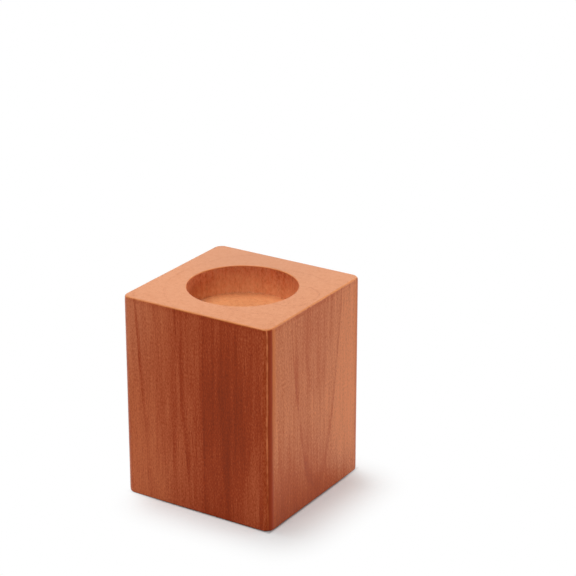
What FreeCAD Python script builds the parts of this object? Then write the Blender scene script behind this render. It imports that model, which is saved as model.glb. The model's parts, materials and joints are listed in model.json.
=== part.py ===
import FreeCAD, Part
import os

# Bed riser: one square block of hardwood with a round recess in its top for the leg of a bed.
# Sizes are in millimetres. The origin is the middle of the underside and +Z points up.
# The upright faces look along X and Y.

# Block
BLOCK_SIDE = 80.0  # across the square section, face to face
BLOCK_HEIGHT = 100.0  # from the underside to the top

# Recess for the leg
RECESS_DIAMETER = 52.0
RECESS_DEPTH = 14.0

# Eased edges
UPRIGHT_EDGE_RADIUS = 3.5  # the four upright edges
TOP_EDGE_RADIUS = 0.8  # around the top
FOOT_EDGE_RADIUS = 0.8  # around the underside
RIM_RADIUS = 0.6  # around the mouth of the recess

# Rounding leaves some of the flat top between the recess and the outside
LAND_SHARE = 0.4  # the most of that land that one rounded edge takes

# How near two heights or radii are to count as the same
SAME = 0.001

recess_radius = RECESS_DIAMETER / 2
recess_floor = BLOCK_HEIGHT - RECESS_DEPTH
land = BLOCK_SIDE / 2 - recess_radius


def eased(radius):
    """An edge radius, limited by the land around the recess."""
    return min(radius, LAND_SHARE * land)


def is_upright(edge):
    return edge.BoundBox.ZLength > SAME


def lies_at(edge, height):
    return not is_upright(edge) and abs(edge.CenterOfMass.z - height) < SAME


def square_block():
    """The sawn block with its upright edges, then its top and foot edges, rounded."""
    corner = FreeCAD.Vector(-BLOCK_SIDE / 2, -BLOCK_SIDE / 2, 0)
    block = Part.makeBox(BLOCK_SIDE, BLOCK_SIDE, BLOCK_HEIGHT, corner)
    uprights = [edge for edge in block.Edges if is_upright(edge)]
    block = block.makeFillet(UPRIGHT_EDGE_RADIUS, uprights)
    top_edges = [edge for edge in block.Edges if lies_at(edge, BLOCK_HEIGHT)]
    block = block.makeFillet(eased(TOP_EDGE_RADIUS), top_edges)
    foot_edges = [edge for edge in block.Edges if lies_at(edge, 0)]
    return block.makeFillet(FOOT_EDGE_RADIUS, foot_edges)


def with_recess(block):
    """The block with the round recess bored down into its top, and the recess's mouth rounded."""
    bore = Part.makeCylinder(recess_radius, RECESS_DEPTH, FreeCAD.Vector(0, 0, recess_floor))
    bored = block.cut(bore)
    mouth = [
        edge
        for edge in bored.Edges
        if lies_at(edge, BLOCK_HEIGHT)
        and isinstance(edge.Curve, Part.Circle)
        and abs(edge.Curve.Radius - recess_radius) < SAME
    ]
    return bored.makeFillet(eased(RIM_RADIUS), mouth)


riser_block = with_recess(square_block())

os.makedirs("parts", exist_ok=True)
riser_block.exportStep("parts/riser_block.step")
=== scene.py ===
import json
import math
from typing import NamedTuple

import bpy
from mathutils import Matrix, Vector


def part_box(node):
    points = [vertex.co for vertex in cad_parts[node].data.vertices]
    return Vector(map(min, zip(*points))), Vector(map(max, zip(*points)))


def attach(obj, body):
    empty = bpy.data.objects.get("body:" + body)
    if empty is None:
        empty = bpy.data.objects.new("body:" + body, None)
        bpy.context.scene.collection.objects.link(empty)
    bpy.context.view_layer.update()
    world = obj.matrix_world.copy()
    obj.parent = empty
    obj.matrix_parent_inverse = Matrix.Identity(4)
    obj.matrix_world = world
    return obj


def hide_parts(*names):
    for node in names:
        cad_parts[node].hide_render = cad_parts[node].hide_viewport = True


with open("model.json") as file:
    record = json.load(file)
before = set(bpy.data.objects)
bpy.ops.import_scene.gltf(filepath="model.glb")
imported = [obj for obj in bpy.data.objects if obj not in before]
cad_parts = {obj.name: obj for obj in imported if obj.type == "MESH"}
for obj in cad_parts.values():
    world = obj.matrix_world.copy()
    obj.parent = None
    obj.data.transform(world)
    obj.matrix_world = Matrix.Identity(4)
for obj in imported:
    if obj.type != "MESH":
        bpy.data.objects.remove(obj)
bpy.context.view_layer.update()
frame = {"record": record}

# Bed riser: one block of stained hardwood with a recess bored in its top for the leg of a bed.
# The frame's places are in metres. MM turns a size in millimetres into metres.
MM = 0.001

# Sizes that the frame gives
block_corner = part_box("riser_block")[1]
mounts = {mount["name"]: mount for mount in frame["record"]["mounts"]}
HALF_SIDE = block_corner.x
HEIGHT = block_corner.z
RECESS_RADIUS = mounts["leg_recess"]["dims"]["r_mm"] * MM
RECESS_FLOOR = mounts["leg_seat"]["pos_m"][2]

# Eased edges, as in the solid
UPRIGHT_EDGE_RADIUS = 3.5 * MM
TOP_EDGE_RADIUS = 0.8 * MM
FOOT_EDGE_RADIUS = 0.8 * MM
RIM_RADIUS = 0.6 * MM

# Sanding takes a little more off the block's corners than off its edges
CORNER_LOSS = 2.4 * MM  # how far inside the sharp corner, measured along the three edges together
CORNER_BLEND = 2.4 * MM  # over how much of the wood around the corner the loss fades out

# The mesh: stations round each quarter of the block, and rings along its section
FACE_STATIONS = 40
CORNER_STATIONS = 14
UNDERSIDE_RINGS = 10
SIDE_RINGS = 44
LAND_RINGS = 10
WALL_RINGS = 10
RECESS_FLOOR_RINGS = 14
EDGE_RINGS = 8
SEAM = 0.001 * MM  # points nearer than this are one point


class Wiring:
    """Adds nodes to a tree and joins them. A value is a number, a vector or another node's output."""

    def __init__(self, tree):
        self.tree = tree

    def add(self, kind, **settings):
        node = self.tree.nodes.new(kind)
        for name, value in settings.items():
            setattr(node, name, value)
        return node

    def feed(self, socket, value):
        if isinstance(value, bpy.types.NodeSocket):
            self.tree.links.new(value, socket)
        else:
            socket.default_value = value

    def add_fed(self, kind, value):
        """A new node with its first input set or joined."""
        node = self.add(kind)
        self.feed(node.inputs[0], value)
        return node

    def fed(self, kind, values, output=0, **settings):
        """A new node's output, with its inputs set or joined in order. None leaves an input as it is."""
        node = self.add(kind, **settings)
        for socket, value in zip(node.inputs, values):
            if value is not None:
                self.feed(socket, value)
        return node.outputs[output]

    def maths(self, operation, *values):
        return self.fed("ShaderNodeMath", values, operation=operation)

    def product(self, *values):
        result = values[0]
        for value in values[1:]:
            result = self.maths("MULTIPLY", result, value)
        return result

    def rest(self, value):
        """What a share leaves of 1."""
        return self.maths("SUBTRACT", 1.0, value)

    def ranged(self, value, from_low, from_high, to_low=0.0, to_high=1.0, ease="LINEAR"):
        """A value moved from one range to another, held at the ends."""
        values = (value, from_low, from_high, to_low, to_high)
        return self.fed("ShaderNodeMapRange", values, "Result", interpolation_type=ease)

    def strip(self, value, rise, fall, ease="LINEAR"):
        """1 between two ranges: over the first it rises from 0, and over the second it falls back to 0."""
        rising = self.ranged(value, *rise, ease=ease)
        falling = self.ranged(value, *fall, 1.0, 0.0, ease=ease)
        return self.product(rising, falling)

    def vector_maths(self, operation, *values):
        output = "Value" if operation in ("LENGTH", "DOT_PRODUCT") else "Vector"
        return self.fed("ShaderNodeVectorMath", values, output, operation=operation)

    def scaled(self, vector, factor):
        node = self.add("ShaderNodeVectorMath", operation="SCALE")
        self.feed(node.inputs["Vector"], vector)
        self.feed(node.inputs["Scale"], factor)
        return node.outputs["Vector"]

    def combined(self, x, y, z):
        return self.fed("ShaderNodeCombineXYZ", (x, y, z))

    def separated(self, vector):
        return self.add_fed("ShaderNodeSeparateXYZ", vector).outputs

    def blended(self, factor, first, second, kind="FLOAT"):
        node = self.add("ShaderNodeMix", data_type=kind)
        ending = {"FLOAT": "_Float", "VECTOR": "_Vector", "RGBA": "_Color"}[kind]
        given = {"Factor_Float": factor, "A" + ending: first, "B" + ending: second}
        for socket in node.inputs:
            if socket.identifier in given:
                self.feed(socket, given[socket.identifier])
        return next(socket for socket in node.outputs if socket.identifier == "Result" + ending)


def new_material(name):
    material = bpy.data.materials.new(name)
    material.use_nodes = True
    material.node_tree.nodes.clear()
    return material


class SectionPoint(NamedTuple):
    reach: float  # from the block's axis
    height: float
    roundness: float = 0.0  # of the outline there: 0 follows the block's square, 1 is a circle
    edge: float = 0.0  # how near the middle of an eased edge it is
    bored: float = 0.0  # 1 where the wood is bored


def steps(start, end, count):
    """Places from start to end, closer together towards both, so that flats stay flat beside rounds."""
    return [start + (end - start) * (1 - math.cos(math.pi * i / count)) / 2 for i in range(count + 1)]


def eased_edge(reach, height, radius, start, roundness=0.0):
    """A quarter turn around the given middle, without its two ends."""
    points = []
    for i in range(1, EDGE_RINGS):
        turn = math.pi / 2 * i / EDGE_RINGS
        outwards = radius * math.cos(start + turn)
        upwards = radius * math.sin(start + turn)
        points.append(SectionPoint(reach + outwards, height + upwards, roundness, math.sin(2 * turn)))
    return points


def block_section():
    """Points from the middle of the underside, up the outside, over the top and down into the recess."""
    foot = HALF_SIDE - FOOT_EDGE_RADIUS
    shoulder = HALF_SIDE - TOP_EDGE_RADIUS
    rim = RECESS_RADIUS + RIM_RADIUS
    points = [SectionPoint(reach, 0.0) for reach in steps(0.0, foot, UNDERSIDE_RINGS)]
    points += eased_edge(foot, FOOT_EDGE_RADIUS, FOOT_EDGE_RADIUS, -math.pi / 2)
    side = steps(FOOT_EDGE_RADIUS, HEIGHT - TOP_EDGE_RADIUS, SIDE_RINGS)
    points += [SectionPoint(HALF_SIDE, height) for height in side]
    points += eased_edge(shoulder, HEIGHT - TOP_EDGE_RADIUS, TOP_EDGE_RADIUS, 0.0)
    for reach in steps(shoulder, rim, LAND_RINGS):
        points.append(SectionPoint(reach, HEIGHT, roundness=(shoulder - reach) / (shoulder - rim)))
    points += eased_edge(rim, HEIGHT - RIM_RADIUS, RIM_RADIUS, math.pi / 2, roundness=1.0)
    for height in steps(HEIGHT - RIM_RADIUS, RECESS_FLOOR, WALL_RINGS):
        points.append(SectionPoint(RECESS_RADIUS, height, roundness=1.0, bored=1.0))
    for reach in steps(RECESS_RADIUS, 0.0, RECESS_FLOOR_RINGS)[1:]:
        points.append(SectionPoint(reach, RECESS_FLOOR, roundness=1.0, bored=1.0))
    return points


def section_mesh(points):
    mesh = bpy.data.meshes.new("block_section")
    edges = [(i, i + 1) for i in range(len(points) - 1)]
    mesh.from_pydata([(point.reach, 0.0, point.height) for point in points], edges, [])
    for name in ("roundness", "edge", "bored"):
        attribute = mesh.attributes.new(name, "FLOAT", "POINT")
        attribute.data.foreach_set("value", [getattr(point, name) for point in points])
    return mesh


def block_form():
    """A tree that carries the section round the block.

    The outline is a square with round corners on the outside, and turns into a circle at the recess.
    """
    tree = bpy.data.node_groups.new("block_form", "GeometryNodeTree")
    sockets = tree.interface
    sockets.new_socket("Section", in_out="INPUT", socket_type="NodeSocketGeometry")
    for name in ("Half Side", "Height", "Corner Radius", "Corner Loss", "Corner Blend", "Seam"):
        sockets.new_socket(name, in_out="INPUT", socket_type="NodeSocketFloat")
    for name in ("Face Stations", "Corner Stations"):
        sockets.new_socket(name, in_out="INPUT", socket_type="NodeSocketInt")
    sockets.new_socket("Wood", in_out="INPUT", socket_type="NodeSocketMaterial")
    sockets.new_socket("Block", in_out="OUTPUT", socket_type="NodeSocketGeometry")

    wire = Wiring(tree)
    given = wire.add("NodeGroupInput").outputs
    half_side = given["Half Side"]

    # A grid with one column for each station round the block and one row for each point of the section
    size = wire.add_fed("GeometryNodeAttributeDomainSize", given["Section"])
    rings = size.outputs["Point Count"]
    quarter_stations = wire.maths("ADD", given["Face Stations"], given["Corner Stations"])
    stations = wire.product(quarter_stations, 4)
    grid = wire.add("GeometryNodeMeshGrid")
    wire.feed(grid.inputs["Vertices X"], wire.maths("ADD", stations, 1))
    wire.feed(grid.inputs["Vertices Y"], rings)
    index = wire.add("GeometryNodeInputIndex").outputs[0]

    def whole_parts(count, size):
        """How many whole parts of this size a count holds, and what is left over."""
        # Half of one more keeps rounding from losing a part
        parts = wire.maths("FLOOR", wire.maths("DIVIDE", wire.maths("ADD", count, 0.5), size))
        return parts, wire.maths("SUBTRACT", count, wire.product(parts, size))

    column, ring = whole_parts(index, rings)
    quarter, station = whole_parts(column, quarter_stations)

    def sampled(value, kind="FLOAT"):
        node = wire.add("GeometryNodeSampleIndex", data_type=kind, domain="POINT")
        wire.feed(node.inputs["Geometry"], given["Section"])
        wire.feed(node.inputs["Value"], value)
        wire.feed(node.inputs["Index"], ring)
        return node.outputs["Value"]

    def section_value(name):
        node = wire.add("GeometryNodeInputNamedAttribute", data_type="FLOAT")
        node.inputs["Name"].default_value = name
        return sampled(node.outputs["Attribute"])

    place = wire.separated(sampled(wire.add("GeometryNodeInputPosition").outputs[0], "FLOAT_VECTOR"))
    reach = place["X"]
    roundness = section_value("roundness")

    # Each quarter runs along a face, then round a corner
    spread = wire.ranged(station, 0.0, given["Face Stations"], -math.pi / 2, math.pi / 2)
    along = wire.maths("SINE", spread)
    turn = wire.ranged(station, given["Face Stations"], quarter_stations, 0.0, math.pi / 2)
    cosine = wire.maths("COSINE", turn)
    sine = wire.maths("SINE", turn)
    widest_flat = wire.maths("SUBTRACT", half_side, given["Corner Radius"])
    flat_share = wire.maths("DIVIDE", widest_flat, half_side)

    def square_outline(reach):
        """A point of the square outline at some reach: a smaller square, grown by a round corner."""
        flat = wire.maths("MINIMUM", widest_flat, wire.product(reach, flat_share))
        radius = wire.maths("SUBTRACT", reach, flat)
        x = wire.maths("ADD", flat, wire.product(radius, cosine))
        y = wire.maths("ADD", wire.product(flat, along), wire.product(radius, sine))
        return x, y

    x, y = square_outline(reach)
    outside_x, outside_y = square_outline(half_side)
    bearing = wire.maths("ARCTAN2", outside_y, outside_x)
    round_x = wire.product(reach, wire.maths("COSINE", bearing))
    round_y = wire.product(reach, wire.maths("SINE", bearing))
    outline_x = wire.blended(roundness, x, round_x)
    outline_y = wire.blended(roundness, y, round_y)
    turned = wire.add("ShaderNodeVectorRotate", rotation_type="Z_AXIS")
    wire.feed(turned.inputs["Vector"], wire.combined(outline_x, outline_y, place["Z"]))
    wire.feed(turned.inputs["Angle"], wire.product(quarter, math.pi / 2))
    position = turned.outputs[0]

    # The loss at the corners moves wood in along all three edges together
    half_height = wire.product(given["Height"], 0.5)
    from_middle = wire.vector_maths("SUBTRACT", position, wire.combined(0.0, 0.0, half_height))
    half_size = wire.combined(half_side, half_side, half_height)
    depth = wire.vector_maths("SUBTRACT", wire.vector_maths("ABSOLUTE", from_middle), half_size)
    past = wire.maths("ADD", wire.vector_maths("DOT_PRODUCT", depth, (1.0, 1.0, 1.0)), given["Corner Loss"])
    loss = wire.maths("DIVIDE", wire.maths("SMOOTH_MAX", past, 0.0, given["Corner Blend"]), 3.0)
    outwards = wire.vector_maths("SIGN", from_middle)
    placed = wire.add("GeometryNodeSetPosition")
    wire.feed(placed.inputs["Geometry"], grid.outputs["Mesh"])
    wire.feed(placed.inputs["Position"], wire.vector_maths("SUBTRACT", position, wire.scaled(outwards, loss)))

    def stored(geometry, name, value):
        """The geometry with a value that the finish reads."""
        node = wire.add("GeometryNodeStoreNamedAttribute", data_type="FLOAT", domain="POINT")
        wire.feed(node.inputs["Geometry"], geometry)
        node.inputs["Name"].default_value = name
        wire.feed(node.inputs["Value"], value)
        return node.outputs[0]

    marked = stored(placed.outputs[0], "level_edge", section_value("edge"))
    marked = stored(marked, "bored", section_value("bored"))
    closed = wire.add_fed("GeometryNodeMergeByDistance", marked)
    wire.feed(closed.inputs["Distance"], given["Seam"])
    smooth = wire.add_fed("GeometryNodeSetShadeSmooth", closed.outputs[0])
    whole = wire.add_fed("GeometryNodeRealizeInstances", smooth.outputs[0])
    finished = wire.add_fed("GeometryNodeSetMaterial", whole.outputs[0])
    wire.feed(finished.inputs["Material"], given["Wood"])
    wire.feed(wire.add("NodeGroupOutput").inputs["Block"], finished.outputs[0])
    return tree


def make_block(wood):
    piece = bpy.data.objects.new("hardwood_block", section_mesh(block_section()))
    bpy.context.scene.collection.objects.link(piece)
    tree = block_form()
    modifier = piece.modifiers.new("block_form", "NODES")
    modifier.node_group = tree
    inputs = {
        "Half Side": HALF_SIDE,
        "Height": HEIGHT,
        "Corner Radius": UPRIGHT_EDGE_RADIUS,
        "Corner Loss": CORNER_LOSS,
        "Corner Blend": CORNER_BLEND,
        "Seam": SEAM,
        "Face Stations": FACE_STATIONS,
        "Corner Stations": CORNER_STATIONS,
        "Wood": wood,
    }
    for item in tree.interface.items_tree:
        if item.in_out == "INPUT" and item.name in inputs:
            modifier[item.identifier] = inputs[item.name]
    shaped = piece.evaluated_get(bpy.context.evaluated_depsgraph_get())
    mesh = bpy.data.meshes.new_from_object(shaped)
    piece.modifiers.clear()
    piece.data = mesh
    return piece


# The wood. Its places and sizes are in millimetres of the block, whose faces are these.
RIGHT = BACK = HALF_SIDE / MM
LEFT = FRONT = -HALF_SIDE / MM
TOP = HEIGHT / MM
SEAT = RECESS_FLOOR / MM

# A noise is the size of its spots along X, Y and Z, and its seed
MOST_NOISE = (0.35, 0.65)  # the range in which most of a noise lies

# How the grain wanders
SLOW_BENDS = ((30.0, 30.0, 120.0), 3.0)
SLOW_PUSH = 5.0  # how far the bends push it
QUICK_BENDS = ((7.0, 7.0, 45.0), 13.0)
QUICK_PUSH = 1.6

# Growth rings
PITH = (15.0, 1.0)  # where the middle of the rings comes through the block, along X and Y
RING_WIDTH = 7.0
FIRST_RING = 3.3  # radius of the first ring at the foot
RING_SEED = 7626.0  # which years grew strong rings
RING_TAPER = 0.045  # how fast the rings open towards the top
RIGHT_TAPER = 0.085  # and how much faster they do so towards the right face
RIGHT_BEARING = (0.5, 0.95)  # the share of X in the bearing over which that comes in
# Parts of a year, from 0 to 1
LATE_LINE = (0.72, 0.92)  # where the dark line comes in
LATE_SHADE = (0.1, 0.9)  # where the softer shade before it comes in
LATE_END = (0.94, 1.0)  # where both go out
LINE_SHARE = 0.75  # how much of the late wood the line has, and the shade the rest
RING_FADE = ((14.0, 14.0, 30.0), 23.0)  # the noise by which a line fades and comes back
RING_FADE_LEAST = 0.4
FOOT_FADE = (5.0, 40.0)  # the heights over which the lines get weaker towards the foot
FOOT_FADE_LEAST = 0.55

# Heartwood, and sapwood that also carries the right face's painted sheen
HEART = (14.0, -36.0)  # the middle of the dark heartwood, near the front face
HEART_REACH = (6.0, 66.0)  # the distances over which it fades
BAND_START = (1.5, 6.0)  # the darkest band in it: where it starts along X
BAND_END = (24.0, 44.0)  # where it ends along X
BAND_DEPTH = (-28.0, 5.0)  # where it ends along Y
BAND_TOP = (60.0, 105.0)  # where it gets weaker towards the top
BAND_LEAST = 0.5  # and how weak
SAPWOOD_AND_SHEEN = (RIGHT - 1.6, RIGHT - 0.2)  # the pale sapwood, which also carries the right face's painted sheen: where it starts along X

# Patterns in the grain: noises, with their detail and roughness
GRAIN_NOISE = {
    "fine_fibre": ((0.5, 0.5, 14.0), 1.0, 2.0, 0.6),
    "fibre": ((1.7, 1.7, 38.0), 2.0, 3.0, 0.55),
    "fleck": ((0.5, 0.5, 1.3), 27.0, 1.0, 0.5),
    "streak": ((5.0, 5.0, 150.0), 5.0, 2.0, 0.5),
    "cloud": ((28.0, 28.0, 45.0), 9.0, 1.0, 0.5),
    "vein": ((3.4, 3.4, 170.0), 41.0, 1.0, 0.5),
    "pore": ((0.35, 0.35, 3.0), 17.0, 1.0, 0.5),
    "torn": ((1.6, 1.6, 2.4), 37.0, 2.0, 0.6),
}
VEIN_RANGE = (0.55, 0.7)  # a vein is only where its noise is strong
PORE_RANGE = (0.62, 0.78)  # and so is a pore

# How much each pattern darkens side grain and end grain
SIDE_SHARES = {
    "streak": 0.2,
    "fibre": 0.48,
    "fine_fibre": 0.5,
    "fleck": 0.9,
    "pore": 0.2,
    "late_wood": 0.38,
    "vein": 0.18,
}
END_SHARES = {
    "end_rings": 0.42,
    "fleck": 1.3,
    "fibre": 1.25,
    "cloud": 0.6,
    "pore": 0.4,
    "torn": 0.9,
}
SAPWOOD_AND_SHEEN_CONTRAST = 1.05  # how strong they are in the sapwood with its painted sheen, against the heartwood

# The stain on side grain: how dark it is everywhere, and what adds to it
SIDE_STAIN = 0.2
STAIN_SHARES = {"heart": 0.29, "band": 0.16, "cloud": 0.12, "gathered": 0.1}
GATHERED = (TOP - 3.2, TOP - 1.4)  # the heights over which it gathers, just under the top edge

# Where the stain lies thicker or thinner, and where shade and sheen are painted as thicker or thinner stain:
# the middle of the spot, its reach along X, Y and Z, and its share
SKIN = 14.0  # how deep a spot on a face goes
STAIN_SHADE_AND_SHEEN_SPOTS = (
    ((RIGHT, -20.0, -6.0), (SKIN, 62.0, 58.0), 0.5),  # painted shade low on the right face
    ((RIGHT, 16.0, -6.0), (SKIN, 44.0, 26.0), 0.3),  # painted shade along the right face's foot
    ((RIGHT, 0.0, 94.0), (SKIN, 28.0, 66.0), 0.2),  # at the top of the right face
    ((RIGHT, 42.0, 50.0), (SKIN, 42.0, 92.0), -0.2),  # towards the right face's far edge
    ((RIGHT, -38.0, 2.0), (SKIN, 15.0, 46.0), 0.45),  # painted shade low on the right face, beside its near edge
    ((37.0, FRONT, 8.0), (14.0, SKIN, 52.0), -0.34),  # low on the front face, beside its right edge
    ((35.0, FRONT, 2.0), (7.0, SKIN, 34.0), -0.2),  # at the foot beside that edge
    ((31.0, FRONT, 66.0), (22.0, SKIN, 50.0), 0.07),  # further up beside that edge
    ((29.0, FRONT, 4.0), (26.0, SKIN, 34.0), -0.12),  # low on the front face's right
    ((19.0, FRONT, 50.0), (16.0, SKIN, 55.0), 0.18),  # half way up the dark band
    ((5.0, FRONT, 54.0), (14.0, SKIN, 50.0), 0.1),  # in the middle of the front face
    ((-22.0, FRONT, 6.0), (30.0, SKIN, 38.0), -0.14),  # low on the front face's left
    ((-36.0, FRONT, TOP), (34.0, SKIN, 50.0), -0.16),  # painted sheen at the front face's top left
    ((LEFT, 10.0, 55.0), (SKIN, 24.0, 80.0), 0.14),  # down the middle of the left face
    ((-12.0, BACK, 45.0), (26.0, SKIN, 80.0), 0.16),  # down the back
)

# Colours of the wood, each with how dark the stain is there, from thin to thick
HEARTWOOD_COLOURS = (
    (0.0, (0.71, 0.18, 0.067)),
    (0.15, (0.65, 0.157, 0.055)),
    (0.36, (0.55, 0.106, 0.034)),
    (0.66, (0.41, 0.047, 0.0075)),
    (1.0, (0.27, 0.028, 0.004)),
)
# The sapwood's colours are paler and greyer partly as painted sheen on the right face
SAPWOOD_AND_SHEEN_COLOURS = (
    (0.0, (0.725, 0.22, 0.076)),
    (0.2, (0.605, 0.182, 0.065)),
    (0.55, (0.455, 0.077, 0.011)),
    (1.0, (0.3, 0.036, 0.003)),
)
# End grain's colours: paler partly as the wood's own and partly as painted sheen on the top
END_GRAIN_AND_SHEEN_COLOURS = (
    (0.0, (0.82, 0.35, 0.17)),
    (0.5, (0.75, 0.295, 0.135)),
    (1.0, (0.58, 0.19, 0.075)),
)
END_STAIN = 0.22  # how dark the stain is on end grain
LEVEL = (0.3, 0.95)  # how far a surface faces up or down, from side grain to end grain

# The bored recess, where the wall is part way to the colour of end grain
WALL_HEIGHTS = (SEAT + 4.0, TOP - 1.0)
WALL_SHARES = (0.78, 0.53)  # how far, low and high on the wall, more low down as painted light
WALL_TORN = 1.5  # how much that changes from spot to spot
WALL_SHADE_SPOTS = (
    ((-27.0, 0.0, 96.0), (18.0, 18.0, 14.0), -0.3),  # painted shade high on the left of the wall
    ((3.0, 26.0, 94.0), (18.0, 18.0, 16.0), -0.2),  # and painted shade at the back
)
WALL_LIGHT_HEIGHTS = (TOP - 2.0, SEAT)  # the heights over which painted light makes the wall paler downwards
WALL_LIGHT_TINT = (1.18, 1.55, 1.65)
SEAT_TINT = (0.935, 0.945, 0.83)  # on the floor of the recess
SEAT_LIGHT_POOL = ((-27.0, 12.0, SEAT), (18.0, 19.0, 8.0))  # a painted pool of light on the seat: its middle and its reach
SEAT_LIGHT_POOL_TINT = (1.25, 1.34, 1.34)

# Wear of the finish, and a painted sheen: the middle of the spot and its reach
BLOOM = ((-15.0, 30.0, TOP), (60.0, 45.0, 12.0))  # a pale bloom on the top, towards the back
BLOOM_COLOUR = (0.695, 0.306, 0.161, 1.0)
BLOOM_SHARE = 0.6
TOP_LEFT_SHEEN = ((LEFT, FRONT, 90.0), (30.0, SKIN, 50.0))  # painted sheen, paler and greyer at the front face's top left
TOP_LEFT_SHEEN_TINT = (1.04, 1.18, 1.4)

# Stain rubbed thin along the top edges and the mouth of the recess
RUBBED_COLOUR = (0.78, 0.28, 0.085, 1.0)
RUBBED_SHARE = 0.75
RUBBED_HEIGHTS = (40.0, 60.0)  # the edges above these heights, and not the foot's
RUBBED_PATCHES = ((5.0, 5.0, 8.0), 7.0)
RUBBED_LEAST = 0.45  # between the patches

# Painted shade along the foot's edges, where they curve under towards the shaded floor
FOOT_SHADE_COLOUR = (0.16, 0.016, 0.002, 1.0)
FOOT_SHADE_SHARE = 0.9


class EdgeBand(NamedTuple):
    """A band of painted highlight or painted shade along an upright edge."""
    rise: tuple  # where it starts, by how much further out the wood is along X than along Y
    fall: tuple  # where it ends
    share: float
    colour: tuple


# Round an upright edge a painted highlight runs in a line, then painted shade, then a painted lit strip
EDGE_HIGHLIGHT = EdgeBand((-1.3, -1.0), (-0.3, 0.0), 1.0, (0.76, 0.2, 0.075, 1.0))
EDGE_SHADE = EdgeBand((-0.2, 0.2), (2.8, 4.9), 0.95, (0.34, 0.036, 0.0075, 1.0))
EDGE_LIT_STRIP = EdgeBand((2.7, 3.5), (4.2, 6.5), 0.75, (0.63, 0.145, 0.012, 1.0))
EDGE_BENDS = ((9.0, 9.0, 16.0), 43.0)  # the noise by which the bands wander
EDGE_PUSH = 1.6
LINE_BREAKS = ((3.0, 3.0, 6.0), 31.0)  # the noise by which the line is broken
LINE_BREAK_RANGE = (0.4, 0.58)
LINE_BREAK_LEAST = 0.15
LINE_HEIGHTS = (8.0, 45.0)  # the heights over which the line gets weaker towards the foot
LINE_LEAST = 0.2
LIT_STRIP_HEIGHTS = (25.0, 75.0)  # and those of the painted lit strip
LIT_STRIP_LEAST = 0.1
NEAR_EDGE = (50.0, 70.0)  # the front right edge, by X less Y
OTHER_EDGES = 0.5  # how strong the bands are on the other three

# The clear satin coat
COAT_ROUGHNESS = 0.33
FIBRE_ROUGHNESS = 0.2
BORED_ROUGHNESS = 0.2
COAT_IOR = 1.35
COAT_TINT = (1.0, 0.45, 0.25, 1.0)
RELIEF_SHARES = {"fine_fibre": 1.0, "fleck": 1.0, "pore": -0.6}
RELIEF_STRENGTH = 0.3
RELIEF_DEPTH = 0.05 * MM


class WoodWiring(Wiring):
    """Wiring for the wood, with the place in the block, in millimetres, and what has been done there."""

    def __init__(self, tree):
        super().__init__(tree)
        self.place = self.scaled(self.add("ShaderNodeTexCoord").outputs["Object"], 1 / MM)
        self.x, self.y, self.height = self.separated(self.place)
        self.wandered = self.place
        for bends, push in ((SLOW_BENDS, SLOW_PUSH), (QUICK_BENDS, QUICK_PUSH)):
            bend = self.vector_maths("SUBTRACT", self.noise(*bends, output="Color"), (0.5, 0.5, 0.5))
            self.wandered = self.vector_maths("ADD", self.wandered, self.scaled(bend, push))
        normal = self.separated(self.add("ShaderNodeNewGeometry").outputs["Normal"])
        self.level = self.ranged(self.maths("ABSOLUTE", normal["Z"]), *LEVEL, ease="SMOOTHSTEP")
        self.bored = self.attribute("bored")

    def noise(self, size, seed, detail=2.0, roughness=0.5, output="Fac"):
        """Noise with spots of about this size along X, Y and Z."""
        spread = self.vector_maths("DIVIDE", self.place, size)
        node = self.add("ShaderNodeTexNoise", noise_dimensions="3D")
        self.feed(node.inputs["Vector"], self.vector_maths("ADD", spread, (seed, seed, seed)))
        node.inputs["Scale"].default_value = 1.0
        node.inputs["Detail"].default_value = detail
        node.inputs["Roughness"].default_value = roughness
        return node.outputs[output]

    def attribute(self, name):
        return self.add("ShaderNodeAttribute", attribute_name=name).outputs["Fac"]

    def spot(self, middle, reach):
        """1 at the middle of a spot, falling to 0 at its reach."""
        away = self.vector_maths("DIVIDE", self.vector_maths("SUBTRACT", self.wandered, middle), reach)
        return self.ranged(self.vector_maths("LENGTH", away), 0.0, 1.0, 1.0, 0.0, ease="SMOOTHSTEP")

    def spotted(self, total, spots):
        """A value with spots added to it, each times its share."""
        for middle, reach, share in spots:
            total = self.maths("ADD", total, self.product(self.spot(middle, reach), share))
        return total

    def summed(self, total, values, shares):
        """A value with those that have a share added to it, each times its share."""
        for name, share in shares.items():
            total = self.maths("ADD", total, self.product(values[name], share))
        return total

    def painted(self, value, stops):
        """A colour from a ramp, with stops of (place, colour)."""
        node = self.add_fed("ShaderNodeValToRGB", value)
        elements = node.color_ramp.elements
        for _ in stops[2:]:
            elements.new(0.5)
        for element, (place, colour) in zip(elements, stops):
            element.position = place
            element.color = (*colour, 1.0)
        return node.outputs["Color"]

    def covered(self, colour, share, coat):
        """A colour under another, as far as the share goes."""
        return self.blended(share, colour, coat, "RGBA")

    def tinted(self, colour, share, tint):
        """A colour multiplied by a tint, as far as the share goes."""
        return self.vector_maths("MULTIPLY", colour, self.blended(share, (1.0, 1.0, 1.0), tint, "VECTOR"))


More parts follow.
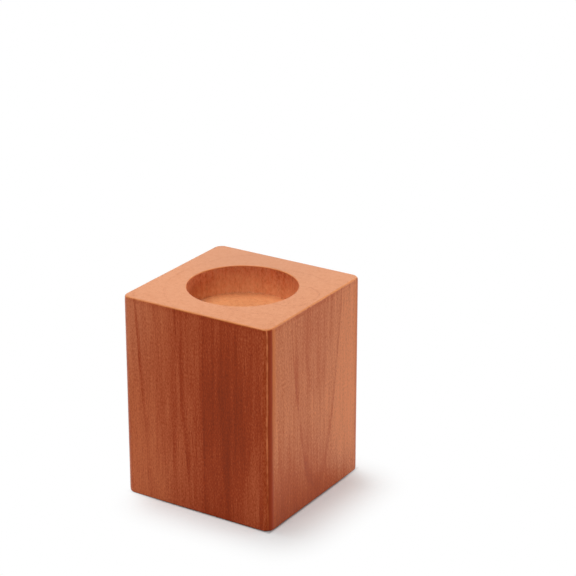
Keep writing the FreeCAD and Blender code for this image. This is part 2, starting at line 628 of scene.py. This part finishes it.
def growth_rings(wood):
    """How much late wood there is: a thin dark line at the end of each year's ring, some years stronger."""
    wandered = wood.separated(wood.wandered)
    x = wood.maths("SUBTRACT", wandered["X"], PITH[0])
    y = wood.maths("SUBTRACT", wandered["Y"], PITH[1])
    radius = wood.vector_maths("LENGTH", wood.combined(x, y, 0.0))
    to_right = wood.maths("DIVIDE", x, radius)
    taper = wood.ranged(to_right, *RIGHT_BEARING, RING_TAPER, RING_TAPER + RIGHT_TAPER)
    grown = wood.maths("SUBTRACT", radius, wood.product(wandered["Z"], taper))
    years = wood.maths("DIVIDE", wood.maths("SUBTRACT", grown, FIRST_RING), RING_WIDTH)
    season = wood.maths("FRACT", years)
    line = wood.ranged(season, *LATE_LINE, 0.0, LINE_SHARE, ease="SMOOTHSTEP")
    shade = wood.ranged(season, *LATE_SHADE, 0.0, 1 - LINE_SHARE, ease="SMOOTHSTEP")
    ended = wood.ranged(season, *LATE_END, 1.0, 0.0, ease="SMOOTHSTEP")
    year = wood.maths("ADD", wood.maths("FLOOR", years), RING_SEED)
    strength = wood.fed("ShaderNodeTexWhiteNoise", (None, year), "Value", noise_dimensions="1D")
    fading = wood.ranged(wood.noise(*RING_FADE), *MOST_NOISE, RING_FADE_LEAST, 1.0)
    foot_fading = wood.ranged(wandered["Z"], *FOOT_FADE, FOOT_FADE_LEAST, 1.0)
    return wood.product(wood.maths("ADD", line, shade), ended, strength, fading, foot_fading)


class Zones(NamedTuple):
    """How much of the heartwood, of its darkest band and of the sapwood, which also carries the right face's
    painted sheen, there is.
    """
    heart: bpy.types.NodeSocket
    band: bpy.types.NodeSocket
    sapwood_and_sheen: bpy.types.NodeSocket


def wood_zones(wood):
    wandered = wood.separated(wood.wandered)
    x = wood.maths("SUBTRACT", wandered["X"], HEART[0])
    y = wood.maths("SUBTRACT", wandered["Y"], HEART[1])
    distance = wood.vector_maths("LENGTH", wood.combined(x, y, 0.0))
    sapwood_and_sheen = wood.ranged(wood.x, *SAPWOOD_AND_SHEEN)
    heart = wood.ranged(distance, *HEART_REACH, 1.0, 0.0, ease="SMOOTHSTEP")
    band = wood.product(
        wood.strip(wandered["X"], BAND_START, BAND_END, ease="SMOOTHSTEP"),
        wood.ranged(wandered["Y"], *BAND_DEPTH, 1.0, 0.0),
        wood.ranged(wandered["Z"], *BAND_TOP, 1.0, BAND_LEAST),
    )
    return Zones(wood.product(heart, wood.rest(sapwood_and_sheen)), band, sapwood_and_sheen)


def grain_patterns(wood, zones):
    """The patterns by name. Noise goes either way from 0, and the others are 0 where there is none."""
    noise = {name: wood.noise(*settings) for name, settings in GRAIN_NOISE.items()}
    vein = wood.ranged(noise.pop("vein"), *VEIN_RANGE, ease="SMOOTHSTEP")
    pore = wood.ranged(noise.pop("pore"), *PORE_RANGE, ease="SMOOTHSTEP")
    grain = {name: wood.maths("SUBTRACT", value, 0.5) for name, value in noise.items()}
    grain["torn"] = wood.product(grain["torn"], wood.bored)
    grain["vein"] = wood.product(vein, zones.heart)
    grain["pore"] = pore
    grain["late_wood"] = growth_rings(wood)
    grain["end_rings"] = wood.product(grain["late_wood"], wood.rest(wood.bored))
    return grain


def side_grain(wood, grain, zones):
    """The colour along the fibres: stain that lies thick or thin on heartwood and sapwood, with painted sheen
    in the right face's sapwood and painted shade and sheen in spots.
    """
    contrast = wood.ranged(zones.sapwood_and_sheen, 0.0, 1.0, 1.0, SAPWOOD_AND_SHEEN_CONTRAST)
    darkness = wood.product(wood.summed(0.0, grain, SIDE_SHARES), contrast)
    parts = {
        "heart": zones.heart,
        "band": zones.band,
        "cloud": grain["cloud"],
        "gathered": wood.ranged(wood.height, *GATHERED),
    }
    darkness = wood.summed(wood.maths("ADD", darkness, SIDE_STAIN), parts, STAIN_SHARES)
    # stain spots, with painted shade low on the right face and painted sheen at the front face's top left
    darkness = wood.spotted(darkness, STAIN_SHADE_AND_SHEEN_SPOTS)
    heartwood = wood.painted(darkness, HEARTWOOD_COLOURS)
    # the sapwood's ramp, paler and greyer partly as painted sheen on the right face
    return wood.covered(heartwood, zones.sapwood_and_sheen, wood.painted(darkness, SAPWOOD_AND_SHEEN_COLOURS))


def bored_and_cut(wood, grain, side):
    """The colour with paler end grain, partly painted sheen, on the level faces, and with the bored recess,
    its painted shade high on the wall and painted light low on the wall and on the seat.
    """
    # end grain, partly painted sheen on the top
    end = wood.painted(wood.summed(END_STAIN, grain, END_SHARES), END_GRAIN_AND_SHEEN_COLOURS)
    wall = wood.ranged(wood.height, *WALL_HEIGHTS, *WALL_SHARES)
    wall = wood.maths("ADD", wall, wood.product(grain["torn"], WALL_TORN))
    # painted shade high on the left and back of the wall
    wall = wood.product(wood.spotted(wall, WALL_SHADE_SPOTS), wood.bored)
    colour = wood.covered(side, wood.maths("MAXIMUM", wood.level, wall), end)
    seat = wood.product(wood.bored, wood.level)
    # painted light, paler low on the wall
    lit_low = wood.product(wood.bored, wood.ranged(wood.height, *WALL_LIGHT_HEIGHTS))
    colour = wood.tinted(colour, wood.maths("SUBTRACT", lit_low, seat), WALL_LIGHT_TINT)
    colour = wood.tinted(colour, seat, SEAT_TINT)
    # a painted pool of light on the seat
    return wood.tinted(colour, wood.product(seat, wood.spot(*SEAT_LIGHT_POOL)), SEAT_LIGHT_POOL_TINT)


def worn_with_painted_light(wood, colour):
    """The colour with a bloom on the top, painted sheen at the front face's top left, rubbed top edges and
    painted shade along the foot's edges.
    """
    bloom = wood.product(wood.spot(*BLOOM), wood.level, BLOOM_SHARE)
    colour = wood.covered(colour, bloom, BLOOM_COLOUR)
    # painted sheen at the front face's top left
    top_left_sheen = wood.product(wood.spot(*TOP_LEFT_SHEEN), wood.rest(wood.level))
    colour = wood.tinted(colour, top_left_sheen, TOP_LEFT_SHEEN_TINT)
    edge = wood.attribute("level_edge")
    raised = wood.ranged(wood.height, *RUBBED_HEIGHTS)
    patchy = wood.ranged(wood.noise(*RUBBED_PATCHES), *MOST_NOISE, RUBBED_LEAST, 1.0)
    colour = wood.covered(colour, wood.product(edge, raised, patchy, RUBBED_SHARE), RUBBED_COLOUR)
    # painted shade along the foot's edges
    return wood.covered(colour, wood.product(edge, wood.rest(raised), FOOT_SHADE_SHARE), FOOT_SHADE_COLOUR)


def with_upright_edges(wood, colour):
    """The colour with the three bands of painted highlight and shade along each upright edge."""
    across = wood.maths("SUBTRACT", wood.maths("ABSOLUTE", wood.x), wood.maths("ABSOLUTE", wood.y))
    bend = wood.maths("SUBTRACT", wood.noise(*EDGE_BENDS), 0.5)
    across = wood.maths("ADD", across, wood.product(bend, EDGE_PUSH))
    near = wood.ranged(wood.maths("SUBTRACT", wood.x, wood.y), *NEAR_EDGE, OTHER_EDGES, 1.0)
    outside = wood.product(wood.rest(wood.maths("MAXIMUM", wood.level, wood.bored)), near)
    broken = wood.ranged(wood.noise(*LINE_BREAKS), *LINE_BREAK_RANGE, LINE_BREAK_LEAST, 1.0)
    line_left = wood.product(broken, wood.ranged(wood.height, *LINE_HEIGHTS, LINE_LEAST, 1.0))
    lit_strip_left = wood.ranged(wood.height, *LIT_STRIP_HEIGHTS, LIT_STRIP_LEAST, 1.0)
    # painted highlight, painted shade and a painted lit strip round each upright edge
    for band, left in ((EDGE_HIGHLIGHT, line_left), (EDGE_SHADE, 1.0), (EDGE_LIT_STRIP, lit_strip_left)):
        share = wood.product(wood.strip(across, band.rise, band.fall), band.share, left, outside)
        colour = wood.covered(colour, share, band.colour)
    return colour


def stained_hardwood():
    """Side grain, paler end grain and a bored recess, with painted light and shade, under a clear satin coat.
    """
    material = new_material("stained_hardwood")
    wood = WoodWiring(material.node_tree)
    zones = wood_zones(wood)
    grain = grain_patterns(wood, zones)
    colour = bored_and_cut(wood, grain, side_grain(wood, grain, zones))
    colour = with_upright_edges(wood, worn_with_painted_light(wood, colour))

    coat = wood.add("ShaderNodeBsdfPrincipled")
    wood.feed(coat.inputs["Base Color"], colour)
    roughness = wood.maths("ADD", COAT_ROUGHNESS, wood.product(grain["fibre"], FIBRE_ROUGHNESS))
    roughness = wood.maths("ADD", roughness, wood.product(wood.bored, BORED_ROUGHNESS))
    wood.feed(coat.inputs["Roughness"], roughness)
    coat.inputs["IOR"].default_value = COAT_IOR
    coat.inputs["Specular Tint"].default_value = COAT_TINT
    relief = wood.add("ShaderNodeBump")
    relief.inputs["Strength"].default_value = RELIEF_STRENGTH
    relief.inputs["Distance"].default_value = RELIEF_DEPTH
    wood.feed(relief.inputs["Height"], wood.summed(0.0, grain, RELIEF_SHARES))
    wood.feed(coat.inputs["Normal"], relief.outputs[0])
    wood.feed(wood.add("ShaderNodeOutputMaterial").inputs["Surface"], coat.outputs[0])
    return material


# The studio, in metres
FLOOR_HALF_SIDE = 3.0
FLOOR_COLOUR = (0.8, 0.835, 0.84, 1.0)
FLOOR_GLOW = 0.22  # added to what is seen of the floor, so that the shadow is pale
SHADOW_PLACE = (14.0 * MM, -8.0 * MM, 0.0)  # the shadow lies a little to the right and the front
SHADOW_HALF_SIDE = 30.0 * MM  # of the square in which the floor is shaded in full
SHADOW_REACH = 32.0 * MM  # how far from that square the floor has lost its shading
CONTACT_REACH = 0.9 * MM  # how far from the block's foot the floor is darkest
SKY_STRENGTH = 0.2  # as a light, while the sky itself shows white

# Lamps: name, place, width and height, and watts
SOFTBOXES = (
    ("overhead", (-0.35, 0.1, 1.4), (0.9, 0.9), 14.0),
    ("right_panel", (1.05, 0.85, 0.17), (0.8, 0.3), 7.9),
    ("front_fill", (0.1, -1.0, 1.1), (0.8, 0.8), 4.6),
)

# The camera, where the photograph's edge lines put it
CAMERA_PLACE = (0.5017, -0.7542, 0.4534)
CAMERA_DOWN = 21.39  # degrees below level
CAMERA_TURN = 32.3  # degrees to the left of looking along Y
CAMERA_LENS = 131.1  # in millimetres
CAMERA_SENSOR = 36.0  # in millimetres
CAMERA_FAR = 20.0  # how far it sees


def seen_directly(wire):
    """1 for what the camera sees itself, in a reflection or through glass, and 0 for light on its way."""
    path = wire.add("ShaderNodeLightPath").outputs
    seen = wire.maths("MAXIMUM", path["Is Camera Ray"], path["Is Glossy Ray"])
    return wire.maths("MAXIMUM", seen, path["Is Transmission Ray"])


def white_floor():
    """White paper that shows the block's shadow, and is plain white further out."""
    material = new_material("white_floor")
    wire = Wiring(material.node_tree)
    seen = seen_directly(wire)
    place = wire.add("ShaderNodeTexCoord").outputs["Object"]

    def beyond(middle, half_side):
        """How far outside a square the place is."""
        offset = wire.vector_maths("ABSOLUTE", wire.vector_maths("SUBTRACT", place, middle))
        outside = wire.vector_maths("SUBTRACT", offset, (half_side, half_side, 0.0))
        return wire.vector_maths("LENGTH", wire.vector_maths("MAXIMUM", outside, (0.0, 0.0, 0.0)))

    paper = wire.add("ShaderNodeBsdfDiffuse")
    paper.inputs["Color"].default_value = FLOOR_COLOUR
    glow = wire.add("ShaderNodeEmission")
    open_floor = wire.ranged(beyond((0.0, 0.0, 0.0), HALF_SIDE), 0.0, CONTACT_REACH, 0.0, FLOOR_GLOW)
    wire.feed(glow.inputs["Strength"], wire.product(seen, open_floor))
    shaded = wire.fed("ShaderNodeAddShader", (paper.outputs[0], glow.outputs[0]))
    white = wire.add("ShaderNodeEmission").outputs[0]
    far = wire.ranged(beyond(SHADOW_PLACE, SHADOW_HALF_SIDE), 0.0, SHADOW_REACH, ease="SMOOTHSTEP")
    surface = wire.fed("ShaderNodeMixShader", (wire.product(seen, far), shaded, white))
    wire.feed(wire.add("ShaderNodeOutputMaterial").inputs["Surface"], surface)
    return material


def studio_floor():
    mesh = bpy.data.meshes.new("studio_floor")
    half = FLOOR_HALF_SIDE
    corners = [(-half, -half, 0.0), (half, -half, 0.0), (half, half, 0.0), (-half, half, 0.0)]
    mesh.from_pydata(corners, [], [(0, 1, 2, 3)])
    mesh.materials.append(white_floor())
    floor = bpy.data.objects.new("studio_floor", mesh)
    bpy.context.scene.collection.objects.link(floor)


def studio_sky():
    world = bpy.data.worlds.new("studio_sky")
    world.use_nodes = True
    world.node_tree.nodes.clear()
    wire = Wiring(world.node_tree)
    sky = wire.add("ShaderNodeBackground")
    wire.feed(sky.inputs["Strength"], wire.ranged(seen_directly(wire), 0.0, 1.0, SKY_STRENGTH, 1.0))
    wire.feed(wire.add("ShaderNodeOutputWorld").inputs["Surface"], sky.outputs[0])
    bpy.context.scene.world = world


def softbox(name, place, size, watts):
    """A lamp that is turned to the middle of the block."""
    light = bpy.data.lights.new(name, "AREA")
    light.shape = "RECTANGLE"
    light.size, light.size_y = size
    light.energy = watts
    lamp = bpy.data.objects.new(name, light)
    lamp.location = place
    direction = Vector((0.0, 0.0, HEIGHT / 2)) - Vector(place)
    lamp.rotation_euler = direction.to_track_quat("-Z", "Y").to_euler()
    bpy.context.scene.collection.objects.link(lamp)


def studio_camera():
    data = bpy.data.cameras.new("camera")
    data.lens = CAMERA_LENS
    data.sensor_width = CAMERA_SENSOR
    data.clip_end = CAMERA_FAR
    camera = bpy.data.objects.new("camera", data)
    camera.location = CAMERA_PLACE
    camera.rotation_euler = (math.radians(90 - CAMERA_DOWN), 0.0, math.radians(CAMERA_TURN))
    bpy.context.scene.collection.objects.link(camera)
    bpy.context.scene.camera = camera


bpy.context.scene.view_settings.view_transform = "Standard"
block = make_block(stained_hardwood())
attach(block, "root")
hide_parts("riser_block")

studio_floor()
studio_sky()
for lamp in SOFTBOXES:
    softbox(*lamp)
studio_camera()
